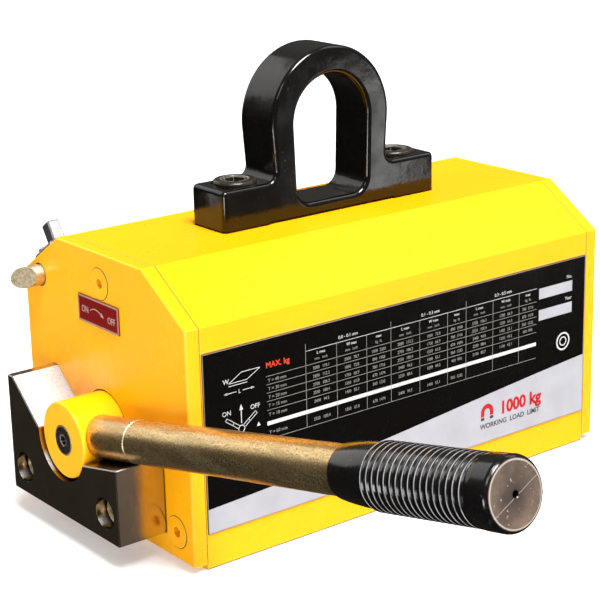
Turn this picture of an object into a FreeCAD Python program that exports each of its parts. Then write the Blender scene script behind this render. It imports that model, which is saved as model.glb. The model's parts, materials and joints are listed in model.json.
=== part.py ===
import FreeCAD, Part
import os
from math import atan2, cos, degrees, hypot, pi, radians, sin, sqrt, tan

# Manual permanent lifting magnet, 1000 kg class.
# Frame: origin in the middle of the bottom pole face, +X along the body away from the lever,
# -Y the side that carries the data plate, +Z up. All sizes are in millimetres.

# ---- driving dimensions: housing ----
BODY_LENGTH = 249.0          # between the two end plates
BODY_WIDTH = 142.6
BODY_HEIGHT = 139.7
CHAMFER_WIDTH = 33.5         # horizontal run of the sloped shoulder
CHAMFER_DROP = 22.0          # vertical run of the sloped shoulder
PLATE_THICKNESS = 7.5
PLATE_LIFT = 3.0             # the end plates stop short of the pole face
SEAM_Z = 106.0               # where the top block sits on the two poles
EDGE_BREAK = 0.7
SEAM_BREAK = 0.45            # small break on the edges that meet at the end plate seams
HEAD_BREAK = 0.35            # break round each flush screw head, on the head and on its seat

# ---- rotor ----
AXIS_Z = 51.7
BORE_RADIUS = 38.0
ROTOR_RADIUS = 37.0
ROTOR_MAGNET_HALF = 13.0     # half the thickness of the magnet slab across the rotor
ROTOR_MAGNET_WIDTH = 56.0
ROTOR_MAGNET_COUNT = 5
FLANGE_THICKNESS = 10.0
FLANGE_RADIUS = 36.5
FLANGE_END_X = 115.3         # outer face of each rotor flange
JOURNAL_RADIUS = 14.0
RUNNING_GAP = 0.06
BUSH_THICKNESS = 8.0
WASHER_THICKNESS = 1.0
SPACER_HALF = 7.0            # half width of the brass strip between the pole feet
STATOR_HALF = 15.0
STATOR_BOTTOM_Z = 93.0
STATOR_COUNT = 5

# ---- hub, shaft and lever ----
HUB_RADIUS = 18.7
HUB_PROUD = 24.6             # hub face in front of the end plate
HUB_HOLE_RADIUS = 19.4
HUB_TAIL = 3.0               # depth of the hub inside the end plate hole, short of its back
SHAFT_RADIUS = 11.0
KEY_WIDTH = 8.0
LEVER_OFFSET = 12.0          # lever axis in front of the end plate
LEVER_ANGLE = 12.3          # degrees above horizontal at rest, on the -Y side
LEVER_SWING = 129.6          # degrees from OFF to ON
LEVER_RADIUS = 10.3
LEVER_BORE = 7.0
STUD_RADIUS = 6.0
STUD_START = 5.5
JOINT_AT = 51.2              # where the screwed-in stub ends and the tube begins
SPIGOT_END = 76.0
TUBE_END = 288.0
GRIP_START = 204.5
GRIP_END = 297.0
GRIP_LIP_RADIUS = 11.4       # rounded lip round the tube
GRIP_NECK_SWELL = 1.55       # how much the plain neck swells up to the first rib
RIB_START = 228.2
RIB_PITCH = 3.42
RIB_COUNT = 17
RIB_RADIUS = 13.8
RIB_HEIGHT = 0.55
GRIP_COLLAR_RADIUS = 14.1
GRIP_RIM = 2.2

# ---- stop block ----
BLOCK_THICKNESS = 26.0
BLOCK_HALF_WIDTH = 49.0
BLOCK_BOTTOM_Z = 13.4
SEAT_RADIUS = 20.3
REST_GAP = 0.3               # air under the resting lever
WING_TOP_Z = 72.6
WING_TOP_Y = 44.1
WING_LOW_Y = 21.1
WING_LOW_Z = 52.7
BLOCK_SCREW_Y = 37.2
BLOCK_SCREW_Z = 26.7

# ---- lifting eye ----
EYE_BAR_LENGTH = 136.0
EYE_BAR_HEIGHT = 20.7
EYE_THICKNESS = 27.5
EYE_ARCH_Z = 46.9            # height of the arch centre above the base
EYE_OUTER_RADIUS = 37.3
EYE_INNER_RADIUS = 23.3
EYE_HOLE_FOOT_HALF = 22.2    # half width of the hole at its floor
EYE_FOOT_HALF = 34.9         # half width of the legs where they meet the bar
EYE_FLOOR = 6.9              # metal left under the hole
EYE_FLOOR_RADIUS = 8.0
EYE_FOOT_FILLET = 5.0
EYE_EDGE_RADIUS = 2.4
EYE_SPOT_RADIUS = 12.0       # shallow spot face under each bolt head
EYE_SPOT_DEPTH = 0.6
EYE_RELIEF = 1.3
EYE_RELIEF_HALF = 40.0
EYE_BOLT_SPACING = 102.6

# ---- safety latch ----
LATCH_Y = 56.3
LATCH_Z = 117.1
LATCH_RADIUS = 5.3
LATCH_HOLE_RADIUS = 5.9
LATCH_PROUD = 9.2            # nose in front of the end plate, on the pin's axis
NOSE_SLOPE_Y = 0.82          # how much further the nose reaches per mm of +Y
NOSE_SLOPE_Z = -0.25
LATCH_BACK_X = -86.0
LATCH_SPIGOT_RADIUS = 3.2
LATCH_SPIGOT_X = -76.0
LATCH_BORE_END_X = -60.0
LATCH_TRAVEL = 13.7
KNOB_X = -116.5
KNOB_LENGTH = 7.0
KNOB_WIDTH = 7.8
KNOB_BOTTOM = 6.3            # above the shoulder, along its normal
KNOB_TOP = 16.8
KNOB_STUD_RADIUS = 2.5
GUIDE_THICKNESS = 5.3
GUIDE_ABOVE = 6.0             # reach of the guide up and down the shoulder from the latch axis
GUIDE_BELOW = 13.2
GUIDE_FRONT_X = -124.1
GUIDE_BACK_X = -96.0
SLOT_HALF = 2.8
SPRING_WIRE = 0.9
SPRING_RADIUS = 4.2
SPRING_TURNS = 8

# ---- plates ----
LABEL_LENGTH = 247.4
LABEL_BOTTOM_Z = 17.8
LABEL_TOP_Z = 105.2
LABEL_THICKNESS = 0.5
BADGE_Y = (-16.7, 19.3)
BADGE_Z = (102.6, 116.0)
BADGE_THICKNESS = 0.6

# ---- screws ----
M8_CORE = 3.95
M8_TAPPED = 4.0
M8_CLEARANCE = 4.5
M8_HEAD_RADIUS = 8.0
PLATE_SCREW_LENGTH = 22.0
TOP_SCREW_Z = 124.3
FOOT_SCREW_Y = 57.5
FOOT_SCREW_Z = 16.7

V = FreeCAD.Vector
FRONT_X = -BODY_LENGTH / 2 - PLATE_THICKNESS      # outer face of the front end plate
BODY_X = BODY_LENGTH / 2
HALF_WIDTH = BODY_WIDTH / 2
SHOULDER_Z = BODY_HEIGHT - CHAMFER_DROP
SHOULDER_ANGLE = degrees(atan2(CHAMFER_DROP, CHAMFER_WIDTH))
HUB_FACE_X = FRONT_X - HUB_PROUD
HUB_BACK_X = FRONT_X + PLATE_THICKNESS - HUB_TAIL
LEVER_X = FRONT_X - LEVER_OFFSET
SHAFT_END_X = HUB_FACE_X + 7.8
PLATE_SCREWS = [(0, TOP_SCREW_Z), (-FOOT_SCREW_Y, FOOT_SCREW_Z), (FOOT_SCREW_Y, FOOT_SCREW_Z)]
BLOCK_SCREWS = [(-BLOCK_SCREW_Y, BLOCK_SCREW_Z), (BLOCK_SCREW_Y, BLOCK_SCREW_Z)]
EYE_BOLTS = [-EYE_BOLT_SPACING / 2, EYE_BOLT_SPACING / 2]


# ---- shape helpers ----
def block(x, y, z):
    """Box between three (low, high) pairs."""
    return Part.makeBox(x[1] - x[0], y[1] - y[0], z[1] - z[0], V(x[0], y[0], z[0]))


def rod_x(radius, x0, x1, y=0.0, z=AXIS_Z):
    """Cylinder along X."""
    return Part.makeCylinder(radius, x1 - x0, V(x0, y, z), V(1, 0, 0))


def ring_x(outer, inner, x0, x1):
    """Ring round the rotor axis."""
    return rod_x(outer, x0, x1).cut(rod_x(inner, x0 - 1, x1 + 1))


def prism_x(points, x0, x1):
    """Straight-sided (y, z) outline pushed along X."""
    loop = [V(x0, y, z) for y, z in points]
    return Part.Face(Part.makePolygon(loop + loop[:1])).extrude(V(x1 - x0, 0, 0))


def turned(profile, base, direction):
    """Solid turned from (along, radius) points about an axis through base."""
    loop = [V(radius, 0, along) for along, radius in profile]
    solid = Part.Face(Part.makePolygon(loop + loop[:1])).revolve(V(0, 0, 0), V(0, 0, 1), 360)
    solid.Placement = FreeCAD.Placement(base, FreeCAD.Rotation(V(0, 0, 1), direction))
    return solid


def hexagon(across_flats, depth, base, direction):
    """Hexagonal prism that starts at base and runs along direction."""
    corner = across_flats / sqrt(3)
    loop = [V(corner * cos(k * pi / 3), corner * sin(k * pi / 3), 0) for k in range(6)]
    solid = Part.Face(Part.makePolygon(loop + loop[:1])).extrude(V(0, 0, depth))
    solid.Placement = FreeCAD.Placement(base, FreeCAD.Rotation(V(0, 0, 1), direction))
    return solid


def countersunk_screw(base, direction, core, head_radius, length, socket):
    """Flush screw: base is the middle of its head, direction points along the thread."""
    cone = head_radius - core
    rim = head_radius - HEAD_BREAK
    profile = [
        (0, 0), (0, rim), (HEAD_BREAK, rim), (cone, core),
        (length - 1, core), (length, core - 0.8), (length, 0),
    ]
    screw = turned(profile, base, direction)
    return screw.cut(hexagon(socket, 0.62 * cone + 1.2, base, direction))


def countersink(base, direction, hole, head_radius):
    """Cutter for a flush screw's broken-edged seat and its clearance hole."""
    cone = head_radius - hole
    mouth = head_radius + HEAD_BREAK
    profile = [
        (-1, 0), (-1, mouth), (0, mouth), (2 * HEAD_BREAK, head_radius - 2 * HEAD_BREAK),
        (cone, hole), (30, hole), (30, 0),
    ]
    return turned(profile, base, direction)


def shoulder(shape):
    """Place a shape drawn in the shoulder's own frame: x along, y down the slope, z out of it."""
    placed = shape.copy()
    placed.Placement = FreeCAD.Placement(
        V(0, HALF_WIDTH, SHOULDER_Z), FreeCAD.Rotation(V(1, 0, 0), -SHOULDER_ANGLE)
    ).multiply(placed.Placement)
    return placed


def edges_where(shape, test):
    """Edges whose middle point passes the test."""
    return [edge for edge in shape.Edges if test(edge, edge.CenterOfMass)]


def lever_point(distance):
    """Point on the lever's axis, measured from the hub's axis."""
    return V(LEVER_X, -distance * cos(radians(LEVER_ANGLE)), AXIS_Z + distance * sin(radians(LEVER_ANGLE)))


LEVER_WAY = V(0, -cos(radians(LEVER_ANGLE)), sin(radians(LEVER_ANGLE)))


def body_outline(bottom):
    """Cross-section of the housing with its two sloped shoulders."""
    flat = HALF_WIDTH - CHAMFER_WIDTH
    return [
        (-HALF_WIDTH, bottom), (HALF_WIDTH, bottom), (HALF_WIDTH, SHOULDER_Z),
        (flat, BODY_HEIGHT), (-flat, BODY_HEIGHT), (-HALF_WIDTH, SHOULDER_Z),
    ]


def rotor_bore():
    return rod_x(BORE_RADIUS, -BODY_X - 1, BODY_X + 1)


def tapped_ends(shape, places):
    """Blind tapped holes for the end plate screws, from both ends."""
    depth = PLATE_SCREW_LENGTH - PLATE_THICKNESS + 2
    for y, z in places:
        shape = shape.cut(rod_x(M8_TAPPED, -BODY_X - 1, -BODY_X + depth, y, z))
        shape = shape.cut(rod_x(M8_TAPPED, BODY_X - depth, BODY_X + 1, y, z))
    return shape


# ---- housing ----
def pole(side):
    """Mild steel pole: side is -1 for the data plate's side and +1 for the other."""
    outline = [
        (SPACER_HALF, 0), (HALF_WIDTH, 0), (HALF_WIDTH, SEAM_Z),
        (STATOR_HALF, SEAM_Z), (STATOR_HALF, AXIS_Z), (SPACER_HALF, AXIS_Z),
    ]
    shape = prism_x([(side * y, z) for y, z in outline], -BODY_X, BODY_X).cut(rotor_bore())
    foot = edges_where(
        shape, lambda e, c: abs(abs(c.y) - HALF_WIDTH) < 0.01 and abs(c.z) < 0.01 and e.Length > 100
    )
    shape = shape.makeChamfer(EDGE_BREAK, foot)
    shape = shape.makeChamfer(SEAM_BREAK, edges_where(
        shape, lambda e, c: abs(abs(c.x) - BODY_X) < 0.01 and abs(abs(c.y) - HALF_WIDTH) < 0.01
    ))
    shape = tapped_ends(shape, [(side * FOOT_SCREW_Y, FOOT_SCREW_Z)])
    block_hole = rod_x(M8_TAPPED, -BODY_X - 1, -BODY_X + 20, side * BLOCK_SCREW_Y, BLOCK_SCREW_Z)
    return shape.cut(block_hole)


def top_block():
    outline = body_outline(SEAM_Z)
    shape = prism_x(outline, -BODY_X, BODY_X)
    long_edges = edges_where(shape, lambda e, c: e.Length > 200 and c.z > SEAM_Z + 1)
    shape = shape.makeFillet(EDGE_BREAK, long_edges)
    shape = shape.makeChamfer(SEAM_BREAK, edges_where(
        shape, lambda e, c: abs(abs(c.x) - BODY_X) < 0.01 and c.z > SEAM_Z + 0.1
    ))
    shape = tapped_ends(shape, [(0, TOP_SCREW_Z)])
    for x in EYE_BOLTS:
        shape = shape.cut(Part.makeCylinder(7.0, 30, V(x, 0, BODY_HEIGHT - 26), V(0, 0, 1)))
    bore = rod_x(LATCH_RADIUS + RUNNING_GAP, -BODY_X - 1, LATCH_BORE_END_X, LATCH_Y, LATCH_Z)
    pin_down, pin_deep = latch_in_shoulder()
    slot = block(
        (KNOB_X - SLOT_HALF, KNOB_X + LATCH_TRAVEL + SLOT_HALF),
        (pin_down - SLOT_HALF, pin_down + SLOT_HALF), (pin_deep, 3),
    )
    shape = shape.cut(bore).cut(shoulder(slot))
    for x, down in guide_screw_places():
        hole = Part.makeCylinder(1.5, 9, V(x, down, -7), V(0, 0, 1))
        shape = shape.cut(shoulder(hole))
    return shape


def bottom_spacer():
    """Non-magnetic strip that closes the gap between the pole feet."""
    return block((-BODY_X, BODY_X), (-SPACER_HALF, SPACER_HALF), (0, AXIS_Z)).cut(rotor_bore())


def upper_spacer():
    """Non-magnetic bridge between the rotor bore and the fixed magnets."""
    strip = block((-BODY_X, BODY_X), (-STATOR_HALF, STATOR_HALF), (AXIS_Z, STATOR_BOTTOM_Z))
    return strip.cut(rotor_bore())


def stator_magnets():
    pitch = BODY_LENGTH / STATOR_COUNT
    magnets = []
    for k in range(STATOR_COUNT):
        start = -BODY_X + k * pitch
        magnets.append(block(
            (start + 0.3, start + pitch - 0.3), (-STATOR_HALF, STATOR_HALF), (STATOR_BOTTOM_Z, SEAM_Z)
        ))
    return magnets


def end_plate(side):
    """End plate with a broken outer edge and its countersunk holes: side -1 is the lever's end."""
    outer = side * (BODY_X + PLATE_THICKNESS)
    shape = prism_x(body_outline(PLATE_LIFT), side * BODY_X, outer)
    rim = edges_where(shape, lambda e, c: abs(c.x - outer) < 0.01)
    shape = shape.makeChamfer(EDGE_BREAK, rim)
    seam = edges_where(shape, lambda e, c: abs(c.x - side * BODY_X) < 0.01 and c.z > PLATE_LIFT + 1)
    shape = shape.makeChamfer(SEAM_BREAK, seam)
    for y, z in PLATE_SCREWS:
        shape = shape.cut(countersink(V(outer, y, z), V(-side, 0, 0), M8_CLEARANCE, M8_HEAD_RADIUS + 0.02))
    if side > 0:
        return shape
    shape = shape.cut(rod_x(HUB_HOLE_RADIUS, FRONT_X - 1, -BODY_X + 1))
    shape = shape.cut(rod_x(LATCH_HOLE_RADIUS, FRONT_X - 1, -BODY_X + 1, LATCH_Y, LATCH_Z))
    for y, z in BLOCK_SCREWS:
        shape = shape.cut(rod_x(M8_CLEARANCE, FRONT_X - 1, -BODY_X + 1, y, z))
    return shape


def end_plate_screws(side):
    face = side * (BODY_X + PLATE_THICKNESS)
    return [
        countersunk_screw(V(face, y, z), V(-side, 0, 0), M8_CORE, M8_HEAD_RADIUS, PLATE_SCREW_LENGTH, 5.0)
        for y, z in PLATE_SCREWS
    ]


def bush(side):
    """Bronze disc that centres the rotor journal in the housing bore."""
    x0, x1 = sorted((side * BODY_X, side * (BODY_X - BUSH_THICKNESS)))
    return ring_x(BORE_RADIUS - 0.03, JOURNAL_RADIUS + RUNNING_GAP, x0, x1)


def thrust_washers():
    x1 = BODY_X - BUSH_THICKNESS
    washers = []
    for side in (-1, 1):
        low, high = sorted((side * x1, side * (x1 - WASHER_THICKNESS)))
        washers.append(ring_x(31.0, JOURNAL_RADIUS + 0.5, low, high))
    return washers


def shaft_seal():
    """Rubber ring in the end plate hole, behind the hub."""
    return ring_x(HUB_HOLE_RADIUS - 0.05, JOURNAL_RADIUS + 0.09, HUB_BACK_X + 0.4, -BODY_X - 0.1)


# ---- stop block ----
def stop_block():
    x0 = FRONT_X - BLOCK_THICKNESS
    slope = tan(radians(LEVER_ANGLE))
    under_lever = (LEVER_RADIUS + REST_GAP) / cos(radians(LEVER_ANGLE))
    rest_low = AXIS_Z + 16.0 * slope - under_lever
    rest_high = AXIS_Z + BLOCK_HALF_WIDTH * slope - under_lever
    outline = [
        (-BLOCK_HALF_WIDTH, BLOCK_BOTTOM_Z), (BLOCK_HALF_WIDTH, BLOCK_BOTTOM_Z),
        (BLOCK_HALF_WIDTH, WING_TOP_Z), (WING_TOP_Y, WING_TOP_Z), (WING_LOW_Y, WING_LOW_Z),
        (16.0, AXIS_Z), (-16.0, rest_low), (-BLOCK_HALF_WIDTH, rest_high),
    ]
    shape = prism_x(outline, x0, FRONT_X)
    outer = edges_where(shape, lambda e, c: abs(c.x - x0) < 0.01 and abs(c.y) > 22)
    corners = edges_where(
        shape, lambda e, c: abs(abs(c.y) - BLOCK_HALF_WIDTH) < 0.01 and abs(c.x - x0) > 5
    )
    shape = shape.makeChamfer(0.5, outer + corners)
    shape = shape.cut(rod_x(SEAT_RADIUS, x0 - 1, FRONT_X + 1))
    for y, z in BLOCK_SCREWS:
        shape = shape.cut(rod_x(7.8, x0 - 1, x0 + 13, y, z))
        shape = shape.cut(rod_x(M8_CLEARANCE, x0, FRONT_X + 1, y, z))
    return shape


def stop_block_screws():
    seat = FRONT_X - BLOCK_THICKNESS + 13
    screws = []
    for y, z in BLOCK_SCREWS:
        profile = [(-8, 0), (-8, 6.0), (-7.5, 6.5), (0, 6.5), (0, M8_CORE), (30.5, M8_CORE), (31.5, 3.2), (31.5, 0)]
        screw = turned(profile, V(seat, y, z), V(1, 0, 0))
        screws.append(screw.cut(hexagon(6.0, 4.2, V(seat - 8, y, z), V(1, 0, 0))))
    return screws


# ---- rotor ----
def rotated_to_off(shapes):
    """The rotor is drawn in its ON position, with the magnets across the poles, and turned to OFF."""
    for shape in shapes:
        shape.rotate(V(0, 0, AXIS_Z), V(1, 0, 0), LEVER_SWING + 90)
    return shapes


def rotor_pole(side):
    core = FLANGE_END_X - FLANGE_THICKNESS
    low, high = sorted((AXIS_Z + side * ROTOR_MAGNET_HALF, AXIS_Z + side * 60))
    shape = rod_x(ROTOR_RADIUS, -core, core)
    shape = shape.common(block((-core, core), (-60, 60), (low, high)))
    for end, y in ((-1, -18.4), (-1, 18.4), (1, -18.4), (1, 18.4)):
        x0, x1 = sorted((end * (core - 14), end * (core + 1)))
        shape = shape.cut(rod_x(3.0, x0, x1, y, AXIS_Z + side * 18.4))
    return rotated_to_off([shape])


def rotor_magnets():
    core = FLANGE_END_X - FLANGE_THICKNESS
    pitch = 2 * core / ROTOR_MAGNET_COUNT
    half = ROTOR_MAGNET_WIDTH / 2
    magnets = []
    for k in range(ROTOR_MAGNET_COUNT):
        start = -core + k * pitch
        magnets.append(block(
            (start + 0.2, start + pitch - 0.2), (-half, half),
            (AXIS_Z - ROTOR_MAGNET_HALF, AXIS_Z + ROTOR_MAGNET_HALF),
        ))
    return rotated_to_off(magnets)


def rotor_side_strips():
    """Brass fillers that complete the round beside the magnets."""
    core = FLANGE_END_X - FLANGE_THICKNESS
    z = (AXIS_Z - ROTOR_MAGNET_HALF, AXIS_Z + ROTOR_MAGNET_HALF)
    half = ROTOR_MAGNET_WIDTH / 2
    strips = []
    for y in ((half, 60), (-60, -half)):
        strips.append(rod_x(ROTOR_RADIUS, -core, core).common(block((-core, core), y, z)))
    return rotated_to_off(strips)


def flange_screw_places():
    turned_by = radians(LEVER_SWING + 90)
    places = []
    for k in range(4):
        angle = turned_by + radians(45 + 90 * k)
        places.append((18.4 * sqrt(2) * cos(angle), AXIS_Z + 18.4 * sqrt(2) * sin(angle)))
    return places


def rotor_flange(side):
    """Flange and journal at one end of the rotor; the lever's end also carries the hub seat."""
    face = side * FLANGE_END_X
    low, high = sorted((face, face - side * FLANGE_THICKNESS))
    shape = rod_x(FLANGE_RADIUS, low, high)
    journal_end = side * (BODY_X - 0.5) if side > 0 else HUB_BACK_X + 0.2
    low, high = sorted((face, journal_end))
    shape = shape.fuse(rod_x(JOURNAL_RADIUS, low, high))
    if side < 0:
        shape = shape.fuse(rod_x(SHAFT_RADIUS, SHAFT_END_X, journal_end))
        shape = shape.cut(rod_x(M8_TAPPED, SHAFT_END_X - 1, SHAFT_END_X + 16))
        stud_hole = Part.makeCylinder(STUD_RADIUS + 0.02, 20, lever_point(STUD_START), LEVER_WAY)
        shape = shape.cut(stud_hole).cut(key_shape(0.02))
    for y, z in flange_screw_places():
        shape = shape.cut(countersink(V(face, y, z), V(-side, 0, 0), 3.2, 6.1))
    return shape.removeSplitter()


def rotor_flange_screws():
    screws = []
    for side in (-1, 1):
        for y, z in flange_screw_places():
            screws.append(countersunk_screw(
                V(side * FLANGE_END_X, y, z), V(-side, 0, 0), 2.95, 5.9, 22, 4.0
            ))
    return screws


def key_shape(gap=0.0):
    """Parallel key on top of the shaft, inside the hub."""
    return block(
        (LEVER_X + STUD_RADIUS + 1.0 - gap, HUB_BACK_X - 1.0 + gap),
        (-KEY_WIDTH / 2 - gap, KEY_WIDTH / 2 + gap), (AXIS_Z + 7.0 - gap, AXIS_Z + 14.0 + gap),
    )


def hub():
    length = HUB_BACK_X - HUB_FACE_X
    profile = [
        (0, 0), (0, HUB_RADIUS - 1.0), (0.3, HUB_RADIUS - 0.3), (1.0, HUB_RADIUS),
        (length - 0.6, HUB_RADIUS), (length, HUB_RADIUS - 0.6), (length, 0),
    ]
    shape = turned(profile, V(HUB_FACE_X, 0, AXIS_Z), V(1, 0, 0))
    shape = shape.cut(rod_x(SHAFT_RADIUS + 0.01, SHAFT_END_X - 0.2, HUB_BACK_X + 1))
    shape = shape.cut(countersink(V(HUB_FACE_X, 0, AXIS_Z), V(1, 0, 0), M8_CLEARANCE, 7.52))
    shape = shape.cut(Part.makeCylinder(STUD_RADIUS + 0.02, 40, lever_point(STUD_START), LEVER_WAY))
    return shape.cut(key_shape(0.02))


def hub_screw():
    return countersunk_screw(V(HUB_FACE_X, 0, AXIS_Z), V(1, 0, 0), M8_CORE, 7.5, 21, 5.0)


def lever_stub():
    """Round stub coped to the hub, with a stud into the shaft and a spigot for the tube."""
    inner, joint = 12.0, JOINT_AT
    profile = [
        (inner, 0), (inner, LEVER_RADIUS), (joint - 0.4, LEVER_RADIUS), (joint, LEVER_RADIUS - 0.4),
        (joint, LEVER_BORE - 0.02), (SPIGOT_END, LEVER_BORE - 0.02), (SPIGOT_END, 0),
    ]
    shape = turned(profile, lever_point(0), LEVER_WAY)
    shape = shape.cut(rod_x(HUB_RADIUS + 0.02, HUB_FACE_X - 5, HUB_BACK_X + 5))
    stud = Part.makeCylinder(STUD_RADIUS, 24, lever_point(STUD_START), LEVER_WAY)
    return shape.fuse(stud).removeSplitter()


def lever_tube():
    profile = [
        (JOINT_AT, LEVER_BORE), (JOINT_AT, LEVER_RADIUS - 0.4), (JOINT_AT + 0.4, LEVER_RADIUS),
        (TUBE_END - 1, LEVER_RADIUS), (TUBE_END, LEVER_RADIUS - 1), (TUBE_END, LEVER_BORE),
    ]
    return turned(profile, lever_point(0), LEVER_WAY)


def grip():
    """Moulded sleeve: a lipped neck that swells, a run of thin finger ribs and a thick closed end."""
    valley = RIB_RADIUS - RIB_HEIGHT
    profile = [(GRIP_START, LEVER_RADIUS + 0.02), (GRIP_START, GRIP_LIP_RADIUS - 0.7)]
    for k in range(1, 4):
        turn = radians(30 * k)
        profile.append((GRIP_START + 0.9 - 0.9 * cos(turn), GRIP_LIP_RADIUS - 0.7 + 0.7 * sin(turn)))
    neck = RIB_START - 1.6 - (GRIP_START + 0.9)
    for k in range(1, 9):
        part = k / 8
        profile.append((
            GRIP_START + 0.9 + neck * part, GRIP_LIP_RADIUS + GRIP_NECK_SWELL * sin(part * pi / 2) ** 0.9
        ))
    for k in range(RIB_COUNT):
        crest = RIB_START + k * RIB_PITCH
        profile.append((crest - 1.2, valley))
        for step in range(5):
            turn = radians(30 * step + 30)
            profile.append((crest - 0.75 * cos(turn), valley + RIB_HEIGHT * sin(turn)))
        profile.append((crest + 1.0, valley))
    last = RIB_START + RIB_COUNT * RIB_PITCH - 2.1
    profile += [
        (last + 0.4, valley + 0.35), (last + 1.2, GRIP_COLLAR_RADIUS - 0.25), (last + 3, GRIP_COLLAR_RADIUS - 0.1),
    ]
    for k in range(0, 7):
        turn = radians(15 * k)
        profile.append((
            GRIP_END - GRIP_RIM + GRIP_RIM * sin(turn), GRIP_COLLAR_RADIUS - GRIP_RIM + GRIP_RIM * cos(turn)
        ))
    profile += [(GRIP_END, 1.7), (GRIP_END - 0.4, 1.25), (GRIP_END - 2.2, 0.9), (GRIP_END - 2.4, 0)]
    profile += [(TUBE_END + 0.3, 0), (TUBE_END + 0.3, LEVER_RADIUS + 0.02)]
    return turned(profile, lever_point(0), LEVER_WAY)


# ---- lifting eye ----
def eye_profile(half_foot, arch_radius, floor, floor_radius):
    """Round-topped outline in XZ: arch on two slightly converging legs, or the hole inside it."""
    top = BODY_HEIGHT + EYE_ARCH_Z
    left, right = -arch_radius, arch_radius
    foot_left, foot_right = -half_foot, half_foot
    edges = [Part.Arc(V(left, 0, top), V(0, 0, top + arch_radius), V(right, 0, top)).toShape()]
    if floor_radius:
        bend = floor_radius * (1 - sqrt(0.5))
        points = [
            V(right, 0, top), V(foot_right, 0, floor + floor_radius),
            V(foot_right - bend, 0, floor + bend), V(foot_right - floor_radius, 0, floor),
            V(foot_left + floor_radius, 0, floor), V(foot_left + bend, 0, floor + bend),
            V(foot_left, 0, floor + floor_radius), V(left, 0, top),
        ]
        edges += [
            Part.makeLine(points[0], points[1]), Part.Arc(*points[1:4]).toShape(),
            Part.makeLine(points[3], points[4]), Part.Arc(*points[4:7]).toShape(),
            Part.makeLine(points[6], points[7]),
        ]
    else:
        corners = [V(right, 0, top), V(foot_right, 0, floor), V(foot_left, 0, floor), V(left, 0, top)]
        edges += [Part.makeLine(a, b) for a, b in zip(corners, corners[1:])]
    return Part.Face(Part.Wire(edges))


def lifting_eye():
    """Forged eye: a drilled foot bar with a round-topped arch, one thickness throughout."""
    half, end = EYE_THICKNESS / 2, EYE_BAR_LENGTH / 2
    bar_top = BODY_HEIGHT + EYE_BAR_HEIGHT
    bar = block((-end, end), (-half, half), (BODY_HEIGHT, bar_top))
    arch = eye_profile(EYE_FOOT_HALF, EYE_OUTER_RADIUS, bar_top - 4, 0)
    arch.translate(V(0, -half, 0))
    shape = bar.fuse(arch.extrude(V(0, EYE_THICKNESS, 0))).removeSplitter()
    foot = edges_where(
        shape,
        lambda e, c: abs(c.z - bar_top) < 0.05 and abs(c.y) < 0.1 and abs(abs(c.x) - EYE_FOOT_HALF) < 1,
    )
    shape = shape.makeFillet(EYE_FOOT_FILLET, foot)
    hole = eye_profile(EYE_HOLE_FOOT_HALF, EYE_INNER_RADIUS, BODY_HEIGHT + EYE_FLOOR, EYE_FLOOR_RADIUS)
    hole.translate(V(0, -half - 1, 0))
    shape = shape.cut(hole.extrude(V(0, EYE_THICKNESS + 2, 0)))
    face_edges = edges_where(
        shape, lambda e, c: abs(abs(c.y) - half) < 0.01 and c.z > BODY_HEIGHT + 0.5
    )
    end_edges = edges_where(
        shape, lambda e, c: abs(abs(c.x) - end) < 0.01 and c.z > BODY_HEIGHT + 0.5 and abs(c.y) < 1
    )
    shape = shape.makeFillet(EYE_EDGE_RADIUS, face_edges + end_edges)
    underside = edges_where(shape, lambda e, c: abs(c.z - BODY_HEIGHT) < 0.01 and e.Length > 5)
    shape = shape.makeChamfer(EDGE_BREAK, underside)
    relief = block(
        (-EYE_RELIEF_HALF, EYE_RELIEF_HALF), (-half - 1, half + 1), (BODY_HEIGHT - 1, BODY_HEIGHT + EYE_RELIEF)
    )
    shape = shape.cut(relief)
    for x in EYE_BOLTS:
        shape = shape.cut(Part.makeCylinder(7.3, 40, V(x, 0, BODY_HEIGHT - 5), V(0, 0, 1)))
        spot = Part.makeCylinder(EYE_SPOT_RADIUS, 10, V(x, 0, bar_top - EYE_SPOT_DEPTH), V(0, 0, 1))
        shape = shape.cut(spot.common(block((-end, end), (-half, half), (BODY_HEIGHT, bar_top + 1))))
    return shape


def eye_bolts():
    """Low-head socket screws through the foot bar into the top block."""
    seat = BODY_HEIGHT + EYE_BAR_HEIGHT - EYE_SPOT_DEPTH
    bolts = []
    for x in EYE_BOLTS:
        profile = [(0, 0), (0, 6.95), (44, 6.95), (44, 10.7), (45.3, 10.9)]
        for k in range(1, 7):
            turn = radians(15 * k)
            profile.append((45.3 + 1.6 * sin(turn), 9.3 + 1.6 * cos(turn)))
        profile += [(46.9, 7.2), (46.5, 6.7), (46.5, 0)]
        bolt = turned(profile, V(x, 0, seat - 44), V(0, 0, 1))
        bolts.append(bolt.cut(hexagon(10.0, 4.5, V(x, 0, seat - 1.0), V(0, 0, 1))))
    return bolts


# ---- safety latch ----
def latch_in_shoulder():
    """Latch axis in the shoulder's own frame: distance down the slope and depth under it."""
    dy, dz = LATCH_Y - HALF_WIDTH, LATCH_Z - SHOULDER_Z
    angle = radians(SHOULDER_ANGLE)
    return dy * cos(angle) - dz * sin(angle), dy * sin(angle) + dz * cos(angle)


def guide_screw_places():
    """(x, down the slope) of the two small screws along the guide's lower edge."""
    down, _ = latch_in_shoulder()
    return [(GUIDE_FRONT_X + 3.6, down + 8.6), (GUIDE_BACK_X - 4.5, down + 8.6)]


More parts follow.
